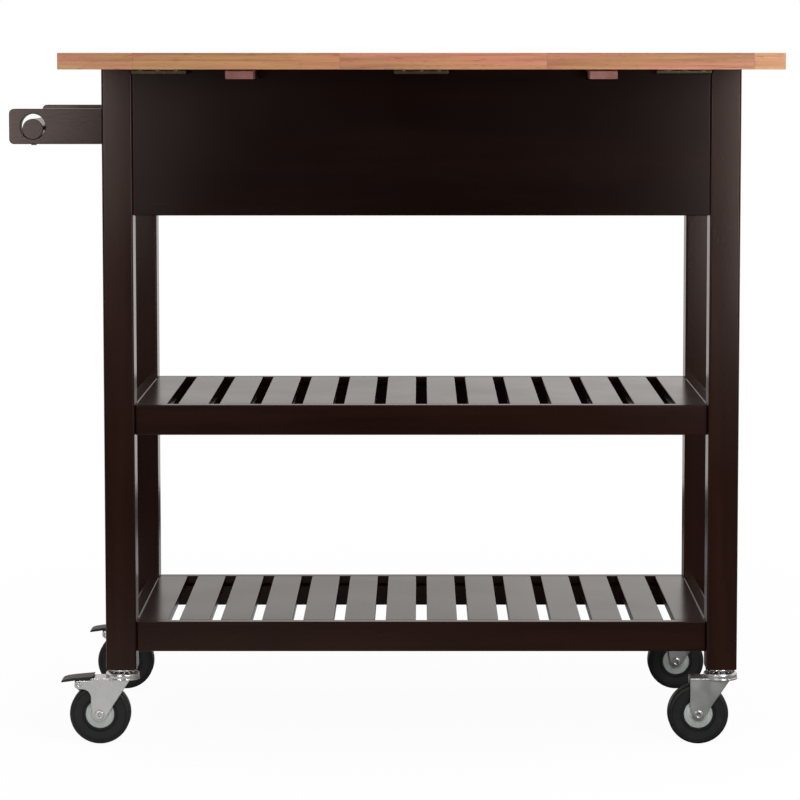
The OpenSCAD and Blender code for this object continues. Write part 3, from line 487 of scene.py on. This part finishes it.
# Lighter along the eased edges: rubbed oil finish and a painted highlight.
tan = mix_of(tree, math_of(tree, "MULTIPLY", worn_and_lit, 0.2), tan, (0.66, 0.42, 0.29, 1))
tree.links.new(tan, shader.inputs["Base Color"])
oiled = noise_of(tree, own, (14, 14, 14), 3.0)
tree.links.new(math_of(tree, "MULTIPLY_ADD", wood["Fibre"], 0.08,
                       ramp_of(tree, oiled, 0.3, 0.7, 0.36, 0.46)), shader.inputs["Roughness"])
relief = math_of(tree, "SUBTRACT", math_of(tree, "MULTIPLY", wood["Fibre"], 0.7),
                 math_of(tree, "MULTIPLY_ADD", stave["Seam"], 0.8, wood["Pores"]))
tree.links.new(bump_of(tree, relief, 0.00009), shader.inputs["Normal"])

for name, node, body in (("worktop", "top_board", "cart"), ("drop_leaf", "leaf_board", "leaf")):
    made = ease(plain_block(name, *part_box(node)), 0.6 * MM, segments=3)
    made.data.materials.append(hardwood)
    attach(made, body)
    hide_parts(node)


# ---- Inner woodwork ----
# Runners, fixing blocks and bar guides of plain sanded wood, glued or screwed where they are
# out of sight. The frame's dowels are the same wood as the support bars.
def sanded_wood(name, run, dark, light):
    """Plain wood whose grain runs along one axis."""
    finish, tree, shader = start_finish(f"{name}_{run}", IOR=1.4)
    own, turned = coordinates(tree, run)
    wood = put(tree, "Group", {"Vector": turned}, node_tree=grain).outputs
    worn_and_lit = put(tree, "Group", {"Vector": own, "Width": 0.002}, node_tree=edge_wear_and_highlight).outputs[0]
    colour = mix_of(tree, wood["Figure"], dark, light)
    colour = mix_of(tree, math_of(tree, "MULTIPLY", wood["Fibre"], 0.4), colour,
                    (0.7, 0.6, 0.52, 1), "MULTIPLY")
    colour = mix_of(tree, math_of(tree, "MULTIPLY", wood["Pores"], 0.45), colour,
                    (0.5, 0.38, 0.3, 1), "MULTIPLY")
    colour = mix_of(tree, math_of(tree, "MULTIPLY", worn_and_lit, 0.4), colour, light)
    tree.links.new(colour, shader.inputs["Base Color"])
    tree.links.new(ramp_of(tree, wood["Fibre"], 0, 1, 0.5, 0.62), shader.inputs["Roughness"])
    relief = math_of(tree, "SUBTRACT", wood["Fibre"], wood["Pores"])
    tree.links.new(bump_of(tree, relief, 0.00012), shader.inputs["Normal"])
    return finish


pale = {run: sanded_wood("plain_hardwood", run, (0.50, 0.30, 0.165, 1), (0.66, 0.44, 0.27, 1))
        for run in "XYZ"}
pinkish = {run: sanded_wood("birch", run, (0.3375, 0.1485, 0.1278, 1), (0.432, 0.2178, 0.1908, 1))
           for run in "XY"}
dress(pale["Y"], "side_runners", "centre_runner", "top_blocks", "bar_guides")
dress(pinkish["X"], "dowels")


# ---- Leaf supports ----
# Two bars of pinkish wood that slide out through the notches of the back panel and carry the
# raised leaf. The nose of each bar is planed down a little, so that the leaf rides up on it.
NOSE_LENGTH = 22 * MM
NOSE_DROP = 2.2 * MM
for side in ("left", "right"):
    low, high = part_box(f"support_bar_{side}")
    bar = plain_block(f"support_{side}_bar", low, high)
    bpy.ops.object.mode_set(mode="EDIT")
    bpy.ops.mesh.bisect(plane_co=(0, low.y + NOSE_LENGTH, 0), plane_no=(0, 1, 0))
    mesh = bmesh.from_edit_mesh(bar.data)
    bpy.ops.mesh.select_all(action="DESELECT")
    for vertex in mesh.verts:
        vertex.select_set(vertex.co.y < low.y + 1 * MM and vertex.co.z > high.z - 1 * MM)
    bmesh.update_edit_mesh(bar.data)
    bpy.ops.transform.translate(value=(0, 0, -NOSE_DROP))
    bpy.ops.object.mode_set(mode="OBJECT")
    ease(bar, 0.8 * MM)
    bar.data.materials.append(pinkish["Y"])
    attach(bar, f"support_{side}")
    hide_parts(f"support_bar_{side}")


# ---- Hinges and screws ----
# Three butt hinges of dull zinc-plated steel, set under the joint of worktop and leaf, with
# pan head screws. The same screws hold the blocks, the guides and the towel rod.
def recess_shade_of(tree, colour, reach=2.5 * MM, left=0.22):
    """Painted shade: darkens a colour by ambient occlusion in grooves and narrow gaps."""
    near = put(tree, "AmbientOcclusion", {"Distance": reach}, samples=8).outputs["AO"]
    level = ramp_of(tree, near, 0.25, 0.8, left, 1.0, smooth=False)
    return mix_of(tree, 1.0, colour, level, "MULTIPLY")


def metal(name, tint, shade, gloss, streaks=(40, 40, 40), scratch=0.00002, fold=0.0, bare_and_highlight=1.25,
          bright=1.0):
    """Plated metal: two tints in soft patches, uneven gloss, fine marks and softened folds, with
    painted shade in its grooves and gaps.
    Its edges are lightened by a factor, as rubbed plating and as a painted highlight, and bright
    is how far the plating mirrors."""
    finish, tree, shader = start_finish(name, Metallic=bright)
    own = put(tree, "TexCoord").outputs["Object"]
    patches = noise_of(tree, own, (25, 25, 25), 2.0)
    worn_and_lit = put(tree, "Group", {"Vector": own, "Width": 0.0008}, node_tree=edge_wear_and_highlight).outputs[0]
    colour = mix_of(tree, ramp_of(tree, patches, 0.2, 0.8), shade, tint)
    # Lighter along the edges: rubbed plating and a painted highlight.
    colour = mix_of(tree, math_of(tree, "MULTIPLY", worn_and_lit, 0.8), colour,
                    tuple(min(1, bare_and_highlight * part) for part in tint[:3]) + (1,))
    # Painted shade in grooves and narrow gaps.
    colour = recess_shade_of(tree, colour)
    tree.links.new(colour, shader.inputs["Base Color"])
    marks = noise_of(tree, own, streaks, 3.0, 0.6)
    tree.links.new(math_of(tree, "ADD", ramp_of(tree, patches, 0.3, 0.7, gloss[0], gloss[1]),
                           ramp_of(tree, marks, 0.3, 0.7, 0, 0.06)), shader.inputs["Roughness"])
    relief = put(tree, "Bump", {"Height": marks, "Distance": scratch})
    if fold:
        soft = put(tree, "Bevel", {"Radius": fold}, samples=8)
        tree.links.new(soft.outputs[0], relief.inputs["Normal"])
    tree.links.new(relief.outputs[0], shader.inputs["Normal"])
    return finish


# The strong lightening along the hinge plates' edges is a painted highlight where they catch the
# light.
hinge_steel = metal("hinge_steel", (0.14, 0.11, 0.075, 1), (0.10, 0.078, 0.053, 1), (0.34, 0.48),
                    (60, 900, 900), bare_and_highlight=3.2)
dress(hinge_steel, "hinge_top_plates", "hinge_leaf_plates", "hinge_pins", "top_screws",
      "leaf_screws", "rod_screws")


# ---- Drawers ----
# Two drawers on the side away from the leaf: a lacquered solid front on a box of plain boards
# with its floor in grooves, and one turned knob of satin nickel, held by a screw from inside.
DRAWER_WALL = 12 * MM
FLOOR_ABOVE_EDGE = 8 * MM
FLOOR_THICKNESS = 5 * MM
KNOB_RADIUS = 15 * MM
KNOB_HALF = 7.1 * MM


def turned(name, centre, radius, half, profile=(), hole=False, rim=0.0, sides=96):
    """A round piece whose axis runs along Y: a disc with rounded rims and, on both faces, a
    profile of insets given as (inwards, outwards). A hole joins the two middles if asked."""
    bpy.ops.object.select_all(action="DESELECT")
    bpy.ops.mesh.primitive_cylinder_add(vertices=sides, radius=radius, depth=2 * half,
                                        rotation=(math.radians(90), 0, 0), location=centre)
    piece = bpy.context.object
    piece.name = piece.data.name = name
    bpy.ops.object.transform_apply(location=True, rotation=True, scale=True)
    if rim:
        round_edges(piece, rim, lambda a, b: abs(a.y - b.y) < 1e-5, segments=6)

    def choose(*facing):
        bpy.ops.mesh.select_all(action="DESELECT")
        mesh = bmesh.from_edit_mesh(piece.data)
        for face in mesh.faces:
            face.select_set(len(face.verts) == sides and round(face.normal.y) in facing)
        bmesh.update_edit_mesh(piece.data)

    bpy.ops.object.mode_set(mode="EDIT")
    bpy.ops.mesh.select_mode(type="FACE")
    for facing in (-1, 1):
        choose(facing)
        for inwards, outwards in profile:
            bpy.ops.mesh.inset(thickness=inwards * MM, depth=outwards * MM)
    if hole:
        choose(-1, 1)
        bpy.ops.mesh.bridge_edge_loops()
    bpy.ops.object.mode_set(mode="OBJECT")
    return piece


def finish_round(piece, finish):
    """Smooths the round surfaces of a turned piece and gives it its material."""
    bpy.ops.object.select_all(action="DESELECT")
    piece.select_set(True)
    bpy.context.view_layer.objects.active = piece
    bpy.ops.object.shade_smooth_by_angle(angle=math.radians(32))
    piece.data.materials.append(finish)
    return piece


def copy_to(piece, name, move):
    """A copy with its own mesh, moved from where the piece is."""
    made = piece.copy()
    made.data = piece.data.copy()
    made.name = made.data.name = name
    bpy.context.collection.objects.link(made)
    made.data.transform(Matrix.Translation(move))
    return made


def join(parts):
    """Joins pieces into the first of them."""
    bpy.ops.object.select_all(action="DESELECT")
    for part in parts:
        part.select_set(True)
    bpy.context.view_layer.objects.active = parts[0]
    bpy.ops.object.join()
    return parts[0]


def middle(node):
    """The middle of a CAD node's box."""
    low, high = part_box(node)
    return (low + high) / 2


nickel = metal("satin_nickel", (0.66, 0.63, 0.58, 1), (0.61, 0.58, 0.54, 1), (0.2, 0.27),
               scratch=0.000005, bare_and_highlight=1.08)
for side in ("left", "right"):
    low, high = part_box(f"drawer_{side}_front")
    front = ease(plain_block(f"drawer_face_{side}", low, high), 1.6 * MM, segments=3)
    front.data.materials.append(lacquer["X"])
    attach(front, f"drawer_{side}")
    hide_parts(f"drawer_{side}_front")

    low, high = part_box(f"drawer_{side}_box")
    left, right = low.x + DRAWER_WALL, high.x - DRAWER_WALL
    back = low.y + DRAWER_WALL
    floor_low = low.z + FLOOR_ABOVE_EDGE
    for part, start, end, run in (
            ("side_a", low, (left, high.y, high.z), "Y"),
            ("side_b", (right, low.y, low.z), high, "Y"),
            ("back", (left, low.y, low.z), (right, back, high.z), "X"),
            ("floor", (left, back, floor_low),
             (right, high.y, floor_low + FLOOR_THICKNESS), "X")):
        made = ease(plain_block(f"drawer_{side}_{part}", start, end), 0.8 * MM)
        made.data.materials.append(pale[run])
        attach(made, f"drawer_{side}")
        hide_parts(f"drawer_{side}_box")

    at, end = middle(f"drawer_{side}_knob"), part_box(f"drawer_{side}_knob")[1].y
    face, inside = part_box(f"drawer_{side}_front")[1].y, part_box(f"drawer_{side}_front")[0].y
    knob = turned("knob", Vector((at.x, end - KNOB_HALF, at.z)), KNOB_RADIUS, KNOB_HALF,
                  [(1.2, 0), (0.4, -0.5), (0.5, 0), (0.4, 0.5), (1.5, -0.1), (5.0, -0.5)],
                  rim=4 * MM)
    neck = turned("neck", Vector((at.x, face + 7 * MM, at.z)), 6 * MM, 6 * MM)
    base = turned("base", Vector((at.x, face + 1.5 * MM, at.z)), 8.25 * MM, 1.5 * MM, rim=1 * MM)
    screw = turned("screw", Vector((at.x, inside - 0.7 * MM, at.z)), 4 * MM,
                   0.7 * MM, rim=0.4 * MM, sides=48)
    slot_low = Vector((at.x - 2.2 * MM, inside - 2 * MM, at.z - 0.5 * MM))
    carve(screw, plain_block("cut", slot_low, slot_low + Vector((4.4, 1.4, 1)) * MM))
    knob = finish_round(join([knob, neck, base, screw]), nickel)
    knob.name = knob.data.name = f"drawer_{side}_turned_knob"
    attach(knob, f"drawer_{side}")
    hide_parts(f"drawer_{side}_knob")


# ---- Towel bar ----
# A round rod that passes through a ring at the end of two brackets, which are cut from board
# with a rounded nose and dowelled to the posts. A screw from below holds the rod in each ring.
low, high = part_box("towel_rod")
ring_x, rod_z, rod_radius = (low.x + high.x) / 2, (low.z + high.z) / 2, (high.x - low.x) / 2
RING_RADIUS = 15.6 * MM
for side in ("leaf_side", "drawer_side"):
    low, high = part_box(f"towel_bracket_{side}")
    bracket = plain_block(f"bracket_{side}", low, high)
    nose = low.x + 1 * MM
    round_edges(bracket, 6 * MM, lambda a, b: max(a.x, b.x) < nose and abs(a.y - b.y) > 0.01,
                segments=6)
    bpy.ops.mesh.primitive_cylinder_add(
        vertices=64, radius=RING_RADIUS, depth=0.05, rotation=(math.radians(90), 0, 0),
        location=(ring_x, (low.y + high.y) / 2, (low.z + high.z) / 2))
    carve(bracket, bpy.context.object)
    ease(bracket, 0.9 * MM)
    bracket.data.materials.append(lacquer["X"])
    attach(bracket, "cart")
    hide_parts(f"towel_bracket_{side}")

low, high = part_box("towel_rod")
bpy.ops.object.select_all(action="DESELECT")
bpy.ops.mesh.primitive_cylinder_add(
    vertices=64, radius=rod_radius, depth=high.y - low.y, rotation=(math.radians(90), 0, 0),
    location=(ring_x, (low.y + high.y) / 2, rod_z))
rod = bpy.context.object
rod.name = rod.data.name = "towel_rail_rod"
bpy.ops.object.transform_apply(location=True, rotation=True, scale=True)
ease(rod, 0.6 * MM, segments=3)
rod.data.materials.append(lacquer["Y"])
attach(rod, "cart")
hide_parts("towel_rod")


# ---- Casters ----
# Swivel casters of pressed zinc-plated steel: a stem with its upper race fixed in the post, a
# ring of balls, a fork with flared cheeks, and a bolt through the wheel.
CHEEK = 14.5 * MM
HEAD_HALF = 1.25 * MM
NUT_HALF = 1 * MM
PIN_FROM_HUB = Vector((-26, 0, 37.8)) * MM
zinc = metal("zinc_steel", (0.66, 0.66, 0.64, 1), (0.56, 0.56, 0.55, 1), (0.22, 0.34),
             scratch=0.000006, fold=1.6 * MM)
ball_steel = metal("ball_steel", (0.40, 0.39, 0.38, 1), (0.30, 0.29, 0.28, 1), (0.12, 0.2))
dress(zinc, "caster_stems")
dress(ball_steel, "caster_balls")

hub_centre = middle("hub_leaf_left")
bolts = {}
for kind in ("plain", "braked"):
    head = turned("bolt_head", hub_centre - Vector((0, CHEEK + HEAD_HALF, 0)), 5.75 * MM,
                  HEAD_HALF, rim=0.9 * MM)
    recess = turned("recess", hub_centre - Vector((0, CHEEK + 3.2 * MM, 0)), 2.7 * MM,
                    2.4 * MM, sides=6)
    carve(head, recess)
    nut = turned("bolt_nut", hub_centre + Vector((0, CHEEK + NUT_HALF, 0)), 6.25 * MM,
                 NUT_HALF, sides=6)
    shaft = turned("bolt_shaft", hub_centre + Vector((0, 1 * MM, 0)), 3.25 * MM, 16 * MM,
                   rim=0.4 * MM, sides=48)
    parts = [head, nut, shaft]
    if kind == "braked":
        pin = hub_centre + PIN_FROM_HUB
        parts.append(turned("rivet_pin", pin, 2 * MM, CHEEK + 0.5 * MM, sides=48))
        for side in (-1, 1):
            at = pin + Vector((0, side * (CHEEK + 0.6 * MM), 0))
            parts.append(turned("rivet_head", at, 3.3 * MM, 0.6 * MM, [(0.9, 0), (0.5, -0.45)],
                                rim=0.4 * MM, sides=48))
    bolts[kind] = finish_round(join(parts), zinc)

for corner in CORNERS:
    dress(zinc, f"fork_{corner}")
    kind = "braked" if corner.endswith("left") else "plain"
    made = copy_to(bolts[kind], f"wheel_bolt_{corner}", middle(f"hub_{corner}") - hub_centre)
    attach(made, f"caster_{corner}")
    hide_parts(f"axle_{corner}")
for spare in bolts.values():
    bpy.data.objects.remove(spare)


# ---- Hubs ----
# A pressed disc of bright zinc on each side of a core, with rings rolled into it and a raised
# boss around the bolt.
bright_zinc = metal("hub_zinc", (0.5073, 0.5327, 0.5158, 1), (0.4397, 0.465, 0.4481, 1),
                    (0.4, 0.5), scratch=0.000006, bright=0.5)
disc = [(0.6, 0), (0.05, 0.7), (0.35, 0.3), (1.1, 0.1), (0.3, -0.35), (0.5, 0), (0.3, 0.45),
        (3.0, 0.5), (0.3, -0.35), (0.4, 0), (0.3, 0.5), (2.4, 0.45), (0.6, 0.6), (0.3, 0.1),
        (3.95, 0)]
hub = finish_round(turned("hub", hub_centre, 17.8 * MM, 9 * MM, disc, hole=True), bright_zinc)
for corner in CORNERS:
    made = copy_to(hub, f"wheel_hub_{corner}", middle(f"hub_{corner}") - hub_centre)
    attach(made, f"wheel_{corner}")
    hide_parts(f"hub_{corner}")
bpy.data.objects.remove(hub)


# ---- Tyres ----
# Solid black rubber, moulded with round shoulders, a groove and a bead on each side, and a
# recess around the hub.
rubber, tree, shader = start_finish("tyre_rubber", IOR=1.38)
own = put(tree, "TexCoord").outputs["Object"]
scuffs = noise_of(tree, own, (45, 45, 45), 5.0, 0.65)
dust = ramp_of(tree, scuffs, 0.52, 0.78)
black = mix_of(tree, dust, (0.0055, 0.0058, 0.0056, 1), (0.016, 0.015, 0.0135, 1))
# Painted shade: the rubber is darkened by ambient occlusion in its grooves and in the recess
# around the hub.
tree.links.new(recess_shade_of(tree, black, 5 * MM), shader.inputs["Base Color"])
tree.links.new(ramp_of(tree, scuffs, 0.3, 0.7, 0.42, 0.62), shader.inputs["Roughness"])
tree.links.new(bump_of(tree, noise_of(tree, own, (700, 700, 700), 3.0), 0.00005),
               shader.inputs["Normal"])
sidewall = [(0.8, 0), (0.35, -0.45), (0.5, 0), (0.35, 0.45), (0.6, 0), (8.5, -0.4),
            (0.3, 0.4), (1.0, 0), (0.5, -1.2), (0.3, -0.8), (2.85, 0)]
tyre = turned("tyre", hub_centre, 38 * MM, 11 * MM, sidewall, hole=True, rim=4 * MM)
finish_round(tyre, rubber)
for corner in CORNERS:
    made = copy_to(tyre, f"wheel_tyre_{corner}", middle(f"hub_{corner}") - hub_centre)
    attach(made, f"wheel_{corner}")
    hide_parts(f"tyre_{corner}")
bpy.data.objects.remove(tyre)


# ---- Brake pedals ----
# A pedal of black moulded plastic on each caster under the towel bar. Pressed down, its lobe
# bears on the tyre.
moulded, tree, shader = start_finish("pedal_plastic", IOR=1.4)
own = put(tree, "TexCoord").outputs["Object"]
worn_and_lit = put(tree, "Group", {"Vector": own, "Width": 0.0012}, node_tree=edge_wear_and_highlight).outputs[0]
# Lighter along the edges: rubbed plastic and a painted highlight.
tree.links.new(mix_of(tree, worn_and_lit, (0.0075, 0.0075, 0.0080, 1), (0.022, 0.022, 0.023, 1)),
               shader.inputs["Base Color"])
spark = noise_of(tree, own, (1200, 1200, 1200), 2.0)
tree.links.new(ramp_of(tree, spark, 0.3, 0.7, 0.4, 0.55), shader.inputs["Roughness"])
relief = put(tree, "Bump", {"Height": spark, "Distance": 0.00005,
             "Normal": put(tree, "Bevel", {"Radius": 1.2 * MM}, samples=8).outputs[0]})
tree.links.new(relief.outputs[0], shader.inputs["Normal"])
dress(moulded, "brake_pedal_leaf_left", "brake_pedal_drawer_left")
